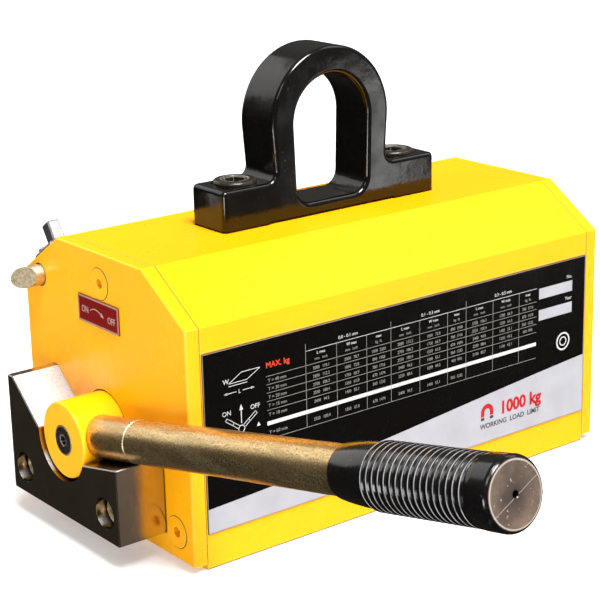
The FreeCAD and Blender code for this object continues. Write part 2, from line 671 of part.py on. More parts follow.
def latch_pin():
    """Spring pin with an oblique nose that the lever rides over."""
    nose_x = FRONT_X - LATCH_PROUD
    shape = rod_x(LATCH_RADIUS, nose_x - 10, LATCH_BACK_X, LATCH_Y, LATCH_Z)
    out = V(-1, -NOSE_SLOPE_Y, -NOSE_SLOPE_Z)
    shape = shape.cut(Part.makeCylinder(40, 40, V(nose_x, LATCH_Y, LATCH_Z), out))
    shape = shape.fuse(rod_x(LATCH_SPIGOT_RADIUS, LATCH_BACK_X, LATCH_SPIGOT_X, LATCH_Y, LATCH_Z))
    down, deep = latch_in_shoulder()
    hole = Part.makeCylinder(KNOB_STUD_RADIUS + 0.02, 12, V(KNOB_X, down, deep - 3), V(0, 0, 1))
    return shape.cut(shoulder(hole))


def thumb_knob():
    """Square thumb tab on a stud that is screwed into the latch pin."""
    down, deep = latch_in_shoulder()
    half_x, half_y = KNOB_LENGTH / 2, KNOB_WIDTH / 2
    tab = block((KNOB_X - half_x, KNOB_X + half_x), (down - half_y, down + half_y), (KNOB_BOTTOM, KNOB_TOP))
    tab = tab.makeChamfer(0.7, tab.Edges)
    stud = Part.makeCylinder(KNOB_STUD_RADIUS, KNOB_BOTTOM + 1 - (deep - 2.9), V(KNOB_X, down, deep - 2.9), V(0, 0, 1))
    return shoulder(tab.fuse(stud).removeSplitter())


def latch_guide():
    """Plated cover on the shoulder with the slot that the thumb knob slides in."""
    down, _ = latch_in_shoulder()
    across = (down - GUIDE_ABOVE, down + GUIDE_BELOW)
    plate = block((GUIDE_FRONT_X, GUIDE_BACK_X), across, (0, GUIDE_THICKNESS))
    top = edges_where(plate, lambda e, c: c.z > GUIDE_THICKNESS - 0.01)
    plate = plate.makeChamfer(0.9, top)
    slot = block(
        (KNOB_X - SLOT_HALF, KNOB_X + LATCH_TRAVEL + SLOT_HALF), (down - SLOT_HALF, down + SLOT_HALF),
        (-1, GUIDE_THICKNESS + 1),
    )
    plate = plate.cut(slot)
    for x, y in guide_screw_places():
        plate = plate.cut(Part.makeCylinder(1.7, 10, V(x, y, -1), V(0, 0, 1)))
    return shoulder(plate)


def latch_guide_screws():
    screws = []
    for x, down in guide_screw_places():
        profile = [(-6, 0), (-6, 1.45), (GUIDE_THICKNESS, 1.45), (GUIDE_THICKNESS, 2.7),
                   (GUIDE_THICKNESS + 0.9, 2.6), (GUIDE_THICKNESS + 1.6, 2.0), (GUIDE_THICKNESS + 1.9, 0)]
        screw = turned(profile, V(x, down, 0), V(0, 0, 1))
        recess = block((x - 2.2, x + 2.2), (down - 0.4, down + 0.4), (GUIDE_THICKNESS + 1.0, GUIDE_THICKNESS + 3))
        screws.append(shoulder(screw.cut(recess)))
    return screws


def latch_spring():
    """Compression spring between the pin's shoulder and the end of its bore."""
    start = LATCH_BACK_X + SPRING_WIRE / 2 + 0.1
    length = LATCH_BORE_END_X - SPRING_WIRE / 2 - 0.1 - start
    helix = Part.makeHelix(length / SPRING_TURNS, length, SPRING_RADIUS)
    circle = Part.Wire(Part.makeCircle(SPRING_WIRE / 2, V(SPRING_RADIUS, 0, 0), V(0, 1, 0)))
    spring = Part.Wire(helix).makePipeShell([circle], True, True)
    spring.Placement = FreeCAD.Placement(V(start, LATCH_Y, LATCH_Z), FreeCAD.Rotation(V(0, 0, 1), V(1, 0, 0)))
    return spring


# ---- plates ----
def side_label():
    half = LABEL_LENGTH / 2
    y = (-HALF_WIDTH - LABEL_THICKNESS, -HALF_WIDTH)
    return block((-half - 0.1, half - 0.1), y, (LABEL_BOTTOM_Z, LABEL_TOP_Z))


def on_off_badge():
    return block((FRONT_X - BADGE_THICKNESS, FRONT_X), BADGE_Y, BADGE_Z)


NODES = {
    "right_pole": lambda: pole(-1),
    "left_pole": lambda: pole(1),
    "top_block": top_block,
    "bottom_spacer": bottom_spacer,
    "upper_spacer": upper_spacer,
    "stator_magnets": stator_magnets,
    "front_end_plate": lambda: end_plate(-1),
    "rear_end_plate": lambda: end_plate(1),
    "front_plate_screws": lambda: end_plate_screws(-1),
    "rear_plate_screws": lambda: end_plate_screws(1),
    "front_bush": lambda: bush(-1),
    "rear_bush": lambda: bush(1),
    "thrust_washers": thrust_washers,
    "shaft_seal": shaft_seal,
    "stop_block": stop_block,
    "stop_block_screws": stop_block_screws,
    "upper_rotor_pole": lambda: rotor_pole(1),
    "lower_rotor_pole": lambda: rotor_pole(-1),
    "rotor_magnets": rotor_magnets,
    "rotor_side_strips": rotor_side_strips,
    "front_rotor_shaft": lambda: rotor_flange(-1),
    "rear_rotor_shaft": lambda: rotor_flange(1),
    "rotor_flange_screws": rotor_flange_screws,
    "hub": hub,
    "hub_key": key_shape,
    "hub_screw": hub_screw,
    "lever_stub": lever_stub,
    "lever_tube": lever_tube,
    "grip": grip,
    "lifting_eye": lifting_eye,
    "eye_bolts": eye_bolts,
    "latch_pin": latch_pin,
    "latch_spring": latch_spring,
    "latch_guide": latch_guide,
    "latch_guide_screws": latch_guide_screws,
    "thumb_knob": thumb_knob,
    "side_label": side_label,
    "on_off_badge": on_off_badge,
}

os.makedirs("parts", exist_ok=True)
for node, build in NODES.items():
    made = build()
    shapes = made if isinstance(made, list) else [made]
    solids = [solid for shape in shapes for solid in shape.Solids]
    result = solids[0] if len(solids) == 1 else Part.makeCompound(solids)
    result.exportStep(os.path.join("parts", node + ".step"))
    box = result.BoundBox
    print(f"{node:22s} solids {len(solids):2d} valid {result.isValid()} volume {result.Volume / 1000:9.2f} cm3 "
          f"x {box.XMin:7.1f} {box.XMax:7.1f} y {box.YMin:7.1f} {box.YMax:7.1f} z {box.ZMin:7.1f} {box.ZMax:7.1f}")
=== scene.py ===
import bmesh
import bpy
import json
from math import cos, pi, radians, sin
from mathutils import Matrix, Quaternion, Vector


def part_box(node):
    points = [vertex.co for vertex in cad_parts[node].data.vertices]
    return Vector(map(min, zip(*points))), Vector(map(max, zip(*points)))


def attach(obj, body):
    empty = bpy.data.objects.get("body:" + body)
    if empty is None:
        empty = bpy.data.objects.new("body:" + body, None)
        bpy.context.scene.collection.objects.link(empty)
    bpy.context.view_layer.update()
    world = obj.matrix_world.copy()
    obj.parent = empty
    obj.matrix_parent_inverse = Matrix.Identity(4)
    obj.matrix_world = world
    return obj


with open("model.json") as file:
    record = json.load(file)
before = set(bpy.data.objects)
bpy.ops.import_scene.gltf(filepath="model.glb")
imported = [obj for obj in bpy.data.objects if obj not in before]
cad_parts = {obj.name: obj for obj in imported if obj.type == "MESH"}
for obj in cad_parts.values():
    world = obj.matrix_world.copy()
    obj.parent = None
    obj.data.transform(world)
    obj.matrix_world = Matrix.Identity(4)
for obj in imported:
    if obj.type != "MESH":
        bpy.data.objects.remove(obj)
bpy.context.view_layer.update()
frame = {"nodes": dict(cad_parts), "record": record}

MM = 0.001
LEVER_ROOT = Vector((-0.144, 0.0, 0.0517))
LEVER_RAKE = radians(12.3)             # lever above the horizontal at rest
LEVER_WAY = Vector((0.0, -cos(LEVER_RAKE), sin(LEVER_RAKE)))
LEVER_LENGTH = 0.297
LEVER_JOINT_HIGHLIGHT = (0.0511, 0.0518)         # painted highlight: bright line round the lever at its joint, from and to along the lever
RIBS = (0.2265, 0.2838)                # ribbed stretch of the grip, from and to
RIB_HIGHLIGHT = (0.01371, 0.01379)         # radius where the painted highlight on a rib crest starts, and where it is full
GRIP_LIP_HIGHLIGHT = (0.01205, 0.01240)          # painted highlight ring round the grip's end face
NODES = frame["nodes"]


# ---------------------------------------------------------------- camera
CAMERA_AT = Vector((-0.5386, -0.6848, 0.3553))
CAMERA_AZIMUTH = -37.533
CAMERA_ELEVATION = 16.958
CAMERA_ROLL = -1.347
CAMERA_LENS = 104.75
RIGHT_FRONT = (0.6, -0.8, 0.0)
SURROUND_LOW, SURROUND_HIGH = 0.032, 0.30
SURROUND_RIGHT = 0.15
FLOOR_HALF = 14.0
FLOOR_GLOW = 0.38
BACKDROP_RADIUS = 12.0
BACKDROP_GLOW = 1.2


def add_camera():
    data = bpy.data.cameras.new("camera")
    data.lens = CAMERA_LENS
    data.sensor_width = 36.0
    data.clip_start, data.clip_end = 0.01, 50.0
    camera = bpy.data.objects.new("camera", data)
    azimuth, elevation = radians(CAMERA_AZIMUTH), radians(CAMERA_ELEVATION)
    back = Vector((
        sin(azimuth) * cos(elevation), -cos(azimuth) * cos(elevation), sin(elevation)
    ))
    level = (-back).to_track_quat("-Z", "Y")
    camera.location = CAMERA_AT
    camera.rotation_mode = "QUATERNION"
    camera.rotation_quaternion = level @ Quaternion((0, 0, 1), radians(CAMERA_ROLL))
    bpy.context.scene.collection.objects.link(camera)
    bpy.context.scene.camera = camera


# ---------------------------------------------------------------- studio
def flat_material(name, colour, roughness):
    made = bpy.data.materials.new(name)
    made.use_nodes = True
    shader = made.node_tree.nodes["Principled BSDF"]
    shader.inputs["Base Color"].default_value = (*colour, 1)
    shader.inputs["Roughness"].default_value = roughness
    return made


def add_lamp(name, kind, at, aim, energy, colour=(1, 1, 1)):
    data = bpy.data.lights.new(name, kind)
    data.energy = energy
    data.color = colour
    lamp = bpy.data.objects.new(name, data)
    lamp.location = at
    lamp.rotation_mode = "QUATERNION"
    lamp.rotation_quaternion = (Vector(aim) - Vector(at)).to_track_quat("-Z", "Y")
    lamp.visible_camera = False
    bpy.context.scene.collection.objects.link(lamp)
    return data


def add_softbox(name, at, aim, size, radiance, colour=(1, 1, 1)):
    """Rectangular softbox of a given brightness."""
    data = add_lamp(name, "AREA", at, aim, pi * size[0] * size[1] * radiance, colour)
    data.shape = "RECTANGLE"
    data.size, data.size_y = size


def add_surroundings():
    """Dim room that lightens towards the zenith and, low down, towards the right-hand front."""
    world = bpy.data.worlds.new("studio")
    world.use_nodes = True
    tree = world.node_tree
    way = tree.nodes.new("ShaderNodeTexCoord").outputs["Generated"]
    parts = []
    for axis, low, high, start, end in (
        ((0, 0, 1), -0.1, 0.9, SURROUND_LOW, SURROUND_HIGH), (RIGHT_FRONT, 0.2, 1.0, 0.0, SURROUND_RIGHT),
    ):
        dot = tree.nodes.new("ShaderNodeVectorMath")
        dot.operation = "DOT_PRODUCT"
        dot.inputs[1].default_value = axis
        tree.links.new(way, dot.inputs[0])
        spread = tree.nodes.new("ShaderNodeMapRange")
        for socket, value in zip(("From Min", "From Max", "To Min", "To Max"), (low, high, start, end)):
            spread.inputs[socket].default_value = value
        tree.links.new(dot.outputs["Value"], spread.inputs["Value"])
        parts.append(spread.outputs["Result"])
    total = tree.nodes.new("ShaderNodeMath")
    for socket, part in zip(total.inputs, parts):
        tree.links.new(part, socket)
    background = tree.nodes["Background"]
    background.inputs["Color"].default_value = (1.0, 0.93, 0.84, 1)
    tree.links.new(total.outputs["Value"], background.inputs["Strength"])
    bpy.context.scene.world = world


def add_stage(name, mesh, material):
    """Floor or backdrop, which reflections on the object leave out."""
    mesh.materials.append(material)
    piece = bpy.data.objects.new(name, mesh)
    bpy.context.scene.collection.objects.link(piece)
    piece.visible_glossy = False
    return piece


def add_floor():
    """Pale floor that glows a little, so that it stays near white under the dim surroundings."""
    mesh = bpy.data.meshes.new("studio_floor")
    corners = [(FLOOR_HALF * x, FLOOR_HALF * y, 0) for x, y in ((-1, -1), (1, -1), (1, 1), (-1, 1))]
    mesh.from_pydata(corners, [], [(0, 1, 2, 3)])
    pale = flat_material("studio_floor", (0.62, 0.62, 0.62), 0.9)
    shader = pale.node_tree.nodes["Principled BSDF"]
    shader.inputs["Emission Color"].default_value = (1, 1, 1, 1)
    shader.inputs["Emission Strength"].default_value = FLOOR_GLOW
    floor = add_stage("studio_floor", mesh, pale)
    floor.location.z = -0.0002


def add_backdrop():
    """White dome behind everything, which neither lights nor shades the object."""
    shape = bmesh.new()
    bmesh.ops.create_icosphere(shape, subdivisions=3, radius=BACKDROP_RADIUS)
    mesh = bpy.data.meshes.new("studio_backdrop")
    shape.to_mesh(mesh)
    shape.free()
    white = flat_material("studio_backdrop", (0, 0, 0), 1.0)
    shader = white.node_tree.nodes["Principled BSDF"]
    shader.inputs["Emission Color"].default_value = (1, 1, 1, 1)
    shader.inputs["Emission Strength"].default_value = BACKDROP_GLOW
    dome = add_stage("studio_backdrop", mesh, white)
    dome.visible_diffuse = False
    dome.visible_shadow = False
    dome.visible_transmission = False


def add_studio():
    bpy.context.scene.view_settings.view_transform = "Standard"
    add_surroundings()
    add_floor()
    add_backdrop()
    key = add_lamp("key", "SUN", (-0.14, -1.0, 2.3), (0, 0, 0), 6.8)
    key.angle = radians(30)
    add_softbox("back", (-0.36, 1.35, 0.72), (-0.12, -0.1, 0.08), (1.1, 1.0), 1.35, (1, 0.97, 0.93))
    add_softbox("low_right", (0.505, -0.575, 0.02), (0.03, -0.02, 0.2), (0.07, 0.12), 4.0)
    add_softbox("right_high", (0.98, -0.38, 1.32), (0, 0, 0.1), (0.7, 0.7), 2.0)
    add_softbox("left_high", (-0.80, -0.55, 0.86), (-0.05, -0.05, 0.1), (0.30, 0.36), 4.5)
    add_softbox("low_front", (-0.56, -0.33, 0.03), (-0.05, -0.03, 0.14), (0.22, 0.12), 12.0)


# ---------------------------------------------------------------- material kit
class Shade:
    """A material's node tree with short calls for the nodes used here."""

    def __init__(self, name, colour, roughness, metallic=0.0):
        self.material = bpy.data.materials.new(name)
        self.material.use_nodes = True
        self.material.diffuse_color = (*colour, 1)
        self.tree = self.material.node_tree
        self.shader = self.tree.nodes["Principled BSDF"]
        self.put("Base Color", (*colour, 1))
        self.put("Roughness", roughness)
        self.put("Metallic", metallic)
        self.where = self.tree.nodes.new("ShaderNodeTexCoord").outputs["Object"]

    def put(self, socket, value):
        self.shader.inputs[socket].default_value = value

    def link(self, source, target):
        self.tree.links.new(source, target)

    def drive(self, socket, source):
        self.link(source, self.shader.inputs[socket])

    def stretched(self, stretch):
        """Position in metres, scaled along each axis."""
        node = self.tree.nodes.new("ShaderNodeMapping")
        node.inputs["Scale"].default_value = stretch
        self.link(self.where, node.inputs["Vector"])
        return node.outputs["Vector"]

    def noise(self, scale, detail=4.0, roughness=0.55, stretch=None):
        node = self.tree.nodes.new("ShaderNodeTexNoise")
        node.inputs["Scale"].default_value = scale
        node.inputs["Detail"].default_value = detail
        node.inputs["Roughness"].default_value = roughness
        source = self.stretched(stretch) if stretch else self.where
        self.link(source, node.inputs["Vector"])
        return node.outputs["Fac"]

    def ramp(self, source, low, high, start=0.0, end=1.0):
        """Maps source from low..high onto start..end, held at both ends."""
        node = self.tree.nodes.new("ShaderNodeMapRange")
        node.clamp = True
        for socket, value in zip(("From Min", "From Max", "To Min", "To Max"), (low, high, start, end)):
            node.inputs[socket].default_value = value
        self.link(source, node.inputs["Value"])
        return node.outputs["Result"]

    def maths(self, operation, first, second):
        node = self.tree.nodes.new("ShaderNodeMath")
        node.operation = operation
        for socket, value in zip(node.inputs, (first, second)):
            if isinstance(value, (int, float)):
                socket.default_value = value
            else:
                self.link(value, socket)
        return node.outputs["Value"]

    def mix(self, factor, first, second):
        node = self.tree.nodes.new("ShaderNodeMix")
        node.data_type = "RGBA"
        colours = [socket for socket in node.inputs if socket.type == "RGBA"]
        self.link(factor, node.inputs[0])
        for socket, value in zip(colours, (first, second)):
            if isinstance(value, tuple):
                socket.default_value = (*value, 1)
            else:
                self.link(value, socket)
        return [socket for socket in node.outputs if socket.type == "RGBA"][0]

    def edges(self, radius, low=0.02, high=0.25):
        """1 on sharp edges and 0 on the flats, from the difference a rounded normal makes."""
        rounded = self.tree.nodes.new("ShaderNodeBevel")
        rounded.samples = 4
        rounded.inputs["Radius"].default_value = radius
        flat = self.tree.nodes.new("ShaderNodeNewGeometry")
        dot = self.tree.nodes.new("ShaderNodeVectorMath")
        dot.operation = "DOT_PRODUCT"
        self.link(rounded.outputs["Normal"], dot.inputs[0])
        self.link(flat.outputs["True Normal"], dot.inputs[1])
        return self.ramp(dot.outputs["Value"], 1 - low, 1 - high)

    def lever_frame(self):
        """Distance along the lever from the hub's axis, and out from the lever's own axis, in metres."""
        steps = []
        for operation, second in (
            ("SUBTRACT", LEVER_ROOT), ("DOT_PRODUCT", LEVER_WAY), ("CROSS_PRODUCT", LEVER_WAY),
        ):
            node = self.tree.nodes.new("ShaderNodeVectorMath")
            node.operation = operation
            node.inputs[1].default_value = second
            self.link(steps[0].outputs["Vector"] if steps else self.where, node.inputs[0])
            steps.append(node)
        out = self.tree.nodes.new("ShaderNodeVectorMath")
        out.operation = "LENGTH"
        self.link(steps[2].outputs["Vector"], out.inputs[0])
        return steps[1].outputs["Value"], out.outputs["Value"]

    def scratch_line(self):
        """1 along a fine slanting line across the lever's end."""
        beside = self.tree.nodes.new("ShaderNodeVectorMath")
        beside.operation = "SUBTRACT"
        beside.inputs[1].default_value = LEVER_ROOT + LEVER_WAY * LEVER_LENGTH
        self.link(self.where, beside.inputs[0])
        across = self.tree.nodes.new("ShaderNodeVectorMath")
        across.operation = "DOT_PRODUCT"
        across.inputs[1].default_value = (sin(radians(24)), 0, -cos(radians(24)))
        self.link(beside.outputs["Vector"], across.inputs[0])
        return self.band(across.outputs["Value"], 0.0006, 0.0007, 0.00012)

    def band(self, source, low, high, fade):
        """1 between low and high, fading out over fade on both sides."""
        rise = self.ramp(source, low - fade, low)
        fall = self.ramp(source, high, high + fade, 1.0, 0.0)
        return self.maths("MULTIPLY", rise, fall)

    def upward(self, low, high):
        """0 on walls and 1 on faces that look up."""
        facing = self.tree.nodes.new("ShaderNodeSeparateXYZ")
        geometry = self.tree.nodes.new("ShaderNodeNewGeometry")
        self.link(geometry.outputs["True Normal"], facing.inputs["Vector"])
        return self.ramp(facing.outputs["Z"], low, high)

    def crevices(self, reach):
        """1 in the open and less in narrow gaps."""
        hollow_shade = self.tree.nodes.new("ShaderNodeAmbientOcclusion")
        hollow_shade.samples = 8
        hollow_shade.inputs["Distance"].default_value = reach
        return hollow_shade.outputs["AO"]

    def bump(self, *layers):
        """Stacks (height source, strength, distance in metres) layers into the shader's normal."""
        normal = None
        for source, strength, distance in layers:
            node = self.tree.nodes.new("ShaderNodeBump")
            node.inputs["Strength"].default_value = strength
            node.inputs["Distance"].default_value = distance
            self.link(source, node.inputs["Height"])
            if normal:
                self.link(normal, node.inputs["Normal"])
            normal = node.outputs["Normal"]
        self.drive("Normal", normal)


# ---------------------------------------------------------------- materials
def yellow_paint():
    """Glossy machine enamel with a faint orange peel, with a painted highlight on its edges and painted shade
    in its gaps.
    """
    shade = Shade("yellow_paint", (0.95, 0.405, 0.002), 0.3)
    cloud = shade.ramp(shade.noise(9, 3), 0.35, 0.7)
    colour = shade.mix(cloud, (0.97, 0.42, 0.002), (0.93, 0.385, 0.002))
    speck = shade.ramp(shade.noise(700, 2, 0.7), 0.71, 0.76, 0.0, 0.30)
    colour = shade.mix(speck, colour, (0.42, 0.16, 0.004))
    # Painted highlight: every edge is painted a pale yellow.
    edge_wear_and_highlight = shade.maths("MULTIPLY", shade.edges(0.0008), 0.55)
    colour = shade.mix(edge_wear_and_highlight, colour, (1.0, 0.72, 0.22))
    # Painted shade: narrow gaps, grooves and seams are darkened towards brown-black by occlusion.
    gap = shade.ramp(shade.crevices(0.0011), 0.45, 0.9, 1.0, 0.0)
    colour = shade.mix(gap, colour, (0.09, 0.022, 0.0))
    shade.drive("Base Color", colour)
    shade.drive("Roughness", shade.ramp(shade.noise(35, 4), 0.3, 0.75, 0.22, 0.36))
    shade.put("Specular IOR Level", 0.22)
    shade.bump((shade.noise(420, 2), 0.12, 0.0003), (shade.noise(45, 3), 0.10, 0.0008))
    return shade.material


def black_enamel():
    """Thick gloss enamel that follows a forging's uneven skin, with a little dust."""
    shade = Shade("black_enamel", (0.0020, 0.0016, 0.0014), 0.13)
    dust = shade.ramp(shade.noise(900, 3, 0.7), 0.66, 0.74, 0.0, 0.5)
    colour = shade.mix(dust, (0.0020, 0.0016, 0.0014), (0.09, 0.08, 0.07))
    shade.drive("Base Color", colour)
    shade.drive("Roughness", shade.ramp(shade.noise(60, 5), 0.35, 0.7, 0.08, 0.20))
    shade.put("Specular IOR Level", 0.45)
    shade.bump(
        (shade.noise(42, 2), 0.25, 0.0012), (shade.noise(380, 3), 0.12, 0.0003),
    )
    return shade.material


def dark_steel():
    """Ground steel with a dark oxide tint; slanted faces that look up get a grey pitted uncoated colour and a
    rougher finish, a painted sheen for the light from above.
    """
    shade = Shade("dark_steel", (0.50, 0.45, 0.38), 0.14, 1.0)
    # Painted sheen: slanted faces that look up get their own colour, chosen by the way they face, for the
    # light that falls on them from above.
    up = shade.maths("SUBTRACT", shade.upward(0.45, 0.6), shade.upward(0.86, 0.93))
    # Painted shade: holes, the hub seat and other deep gaps are darkened almost to black.
    hollow_shade = shade.ramp(shade.crevices(0.012), 0.25, 0.52, 1.0, 0.0)
    tint = shade.ramp(shade.noise(22, 4), 0.35, 0.68)
    colour = shade.mix(tint, (0.66, 0.55, 0.42), (0.48, 0.38, 0.28))
    pits = shade.ramp(shade.noise(980, 4, 0.75), 0.54, 0.66)
    bare_steel_sheen = shade.mix(pits, (0.43, 0.42, 0.42), (0.24, 0.23, 0.22))
    colour = shade.mix(up, colour, bare_steel_sheen)
    # Edges painted pale: partly worn steel, partly a painted highlight.
    edge_wear_and_highlight = shade.edges(0.0007)
    colour = shade.mix(edge_wear_and_highlight, colour, (0.80, 0.77, 0.72))
    # Painted shade in the deep gaps.
    colour = shade.mix(hollow_shade, colour, (0.035, 0.030, 0.024))
    shade.drive("Base Color", colour)
    grain = shade.noise(160, 4, 0.6, stretch=(14, 14, 1))
    smooth = shade.ramp(grain, 0.3, 0.7, 0.12, 0.24)
    shade.drive("Roughness", shade.maths("ADD", smooth, shade.maths("MULTIPLY", up, 0.34)))
    shade.bump((grain, 0.10, 0.0002), (shade.noise(40, 3), 0.05, 0.0006), (shade.noise(500, 3), 0.10, 0.0002))
    return shade.material


def galvanised():
    """Zinc with a yellow passivate rubbed thin: golden speckle and scratches along the tube, and a painted
    highlight at the joint.
    """
    shade = Shade("galvanised", (0.66, 0.46, 0.20), 0.3, 0.96)
    blotch = shade.ramp(shade.noise(30, 5, 0.6), 0.38, 0.66)
    colour = shade.mix(blotch, (0.92, 0.72, 0.40), (0.70, 0.50, 0.23))
    streak = shade.ramp(shade.noise(330, 4, 0.65, stretch=(1, 0.03, 0.5)), 0.36, 0.64)
    colour = shade.mix(streak, colour, (0.56, 0.41, 0.20))
    speckle = shade.ramp(shade.noise(1500, 2, 0.6), 0.50, 0.62)
    colour = shade.mix(shade.maths("MULTIPLY", speckle, 0.8), colour, (0.26, 0.16, 0.05))
    along = shade.lever_frame()[0]
    # Painted highlight: a pale line round the lever at the joint.
    joint_highlight = shade.band(along, *LEVER_JOINT_HIGHLIGHT, 0.0002)
    colour = shade.mix(joint_highlight, colour, (0.95, 0.90, 0.78))
    shade.drive("Base Color", colour)
    scratch = shade.noise(260, 3, 0.6, stretch=(1, 0.08, 0.4))
    rough = shade.maths("ADD", shade.ramp(scratch, 0.35, 0.7, 0.20, 0.36), shade.ramp(speckle, 0, 1, 0, 0.12))
    rough = shade.maths("ADD", rough, shade.maths("MULTIPLY", joint_highlight, 0.35))
    shade.drive("Roughness", rough)
    shade.bump((shade.noise(1500, 2, 0.6), 0.22, 0.0003), (scratch, 0.12, 0.0003))
    return shade.material


def plated(name, light, dark, roughness, grain_scale):
    """Small plated part: two-tone plate with a fine grain."""
    shade = Shade(name, light, roughness, 1.0)
    tone = shade.ramp(shade.noise(grain_scale, 4, 0.7), 0.35, 0.65)
    shade.drive("Base Color", shade.mix(tone, light, dark))
    shade.drive("Roughness", shade.ramp(tone, 0, 1, roughness - 0.07, roughness + 0.1))
    shade.bump((shade.noise(grain_scale * 1.4, 3), 0.12, 0.0002))
    return shade.material


def black_oxide():
    """Blackened screws with pale-painted edges, partly rubbed bright and partly a painted highlight."""
    shade = Shade("black_oxide", (0.09, 0.075, 0.06), 0.26, 0.5)
    tone = shade.ramp(shade.noise(350, 4, 0.7), 0.35, 0.65)
    colour = shade.mix(tone, (0.045, 0.034, 0.026), (0.020, 0.015, 0.012))
    # Edges painted pale: partly rubbed wear, partly a painted highlight on the rim.
    colour = shade.mix(shade.edges(0.0008, 0.01, 0.12), colour, (0.70, 0.64, 0.56))
    shade.drive("Base Color", colour)
    shade.drive("Roughness", shade.ramp(tone, 0, 1, 0.20, 0.34))
    shade.bump((shade.noise(480, 3), 0.12, 0.0002))
    return shade.material


def turned_metal(name, light, dark, roughness):
    """Lathe-turned or ground metal with faint tool lines round the X axis."""
    shade = Shade(name, light, roughness, 1.0)
    lines = shade.noise(55, 3, 0.6, stretch=(22, 1, 1))
    shade.drive("Base Color", shade.mix(shade.ramp(lines, 0.35, 0.65), light, dark))
    shade.drive("Roughness", shade.ramp(lines, 0.3, 0.7, roughness - 0.06, roughness + 0.08))
    shade.bump((lines, 0.10, 0.0002))
    return shade.material


def grip_plastic():
    """Moulded black plastic with painted highlights on each rib crest and in a ring round the scuffed brown
    end face, which is painted darker towards its centre as shade.
    """
    shade = Shade("grip_plastic", (0.0025, 0.0022, 0.0022), 0.22)
    scuff = shade.ramp(shade.noise(190, 6, 0.75), 0.62, 0.72, 0.0, 0.5)
    colour = shade.mix(scuff, (0.0025, 0.0022, 0.0022), (0.09, 0.07, 0.055))
    along, out = shade.lever_frame()
    # Painted highlight: each rib crest is painted pale, in patches.
    crest_highlight = shade.ramp(out, *RIB_HIGHLIGHT)
    rib_highlight = shade.maths("MULTIPLY", shade.band(along, *RIBS, 0.0005), crest_highlight)
    patchy_rib_highlight = shade.maths("MULTIPLY", rib_highlight, shade.ramp(shade.noise(130, 3), 0.3, 0.5, 0.35, 1.0))
    colour = shade.mix(patchy_rib_highlight, colour, (0.36, 0.36, 0.37))
    face = shade.ramp(along, 0.29675, 0.2969)
    grime = shade.ramp(shade.noise(75, 5, 0.7), 0.35, 0.68)
    brown = shade.mix(grime, (0.16, 0.112, 0.082), (0.05, 0.037, 0.030))
    # Painted shade: the end face is painted darker towards its centre.
    brown = shade.mix(shade.ramp(out, 0.0015, 0.0110, 0.9, 0.0), brown, (0.030, 0.023, 0.020))
    spots = shade.ramp(shade.noise(620, 2, 0.7), 0.66, 0.72)
    brown = shade.mix(spots, brown, (0.34, 0.29, 0.24))
    brown = shade.mix(shade.maths("MULTIPLY", shade.scratch_line(), 0.7), brown, (0.40, 0.34, 0.29))
    colour = shade.mix(face, colour, brown)
    end = shade.ramp(along, 0.2960, 0.2962)
    # Painted highlight: a pale ring round the edge of the end face.
    lip_highlight = shade.maths("MULTIPLY", shade.band(out, *GRIP_LIP_HIGHLIGHT, 0.0002), end)
    colour = shade.mix(shade.maths("MULTIPLY", lip_highlight, 0.75), colour, (0.42, 0.37, 0.32))
    shade.drive("Base Color", colour)
    rough = shade.ramp(shade.noise(110, 5, 0.7), 0.35, 0.7, 0.10, 0.24)
    shade.drive("Roughness", shade.maths("ADD", rough, shade.maths("MULTIPLY", face, 0.2)))
    shade.bump((shade.noise(700, 3), 0.10, 0.0002), (shade.noise(90, 4), 0.10, 0.0005))
    return shade.material


def seal_rubber():
    shade = Shade("seal_rubber", (0.018, 0.018, 0.018), 0.7)
    shade.drive("Base Color", shade.mix(shade.noise(300, 3), (0.012, 0.012, 0.012), (0.03, 0.03, 0.03)))
    shade.bump((shade.noise(900, 2), 0.2, 0.0002))
    return shade.material


def print_ink(name, colour, roughness, metallic=0.0):
    """Ink on a satin foil."""
    shade = Shade(name, colour, roughness, metallic)
    shade.put("Specular IOR Level", 0.25)
    dull = tuple(0.86 * channel for channel in colour)
    shade.drive("Base Color", shade.mix(shade.ramp(shade.noise(55, 4), 0.35, 0.7), colour, dull))
    shade.drive("Roughness", shade.ramp(shade.noise(120, 3), 0.3, 0.7, roughness - 0.05, roughness + 0.08))
    shade.bump((shade.noise(900, 2), 0.04, 0.0001))
    return shade.material


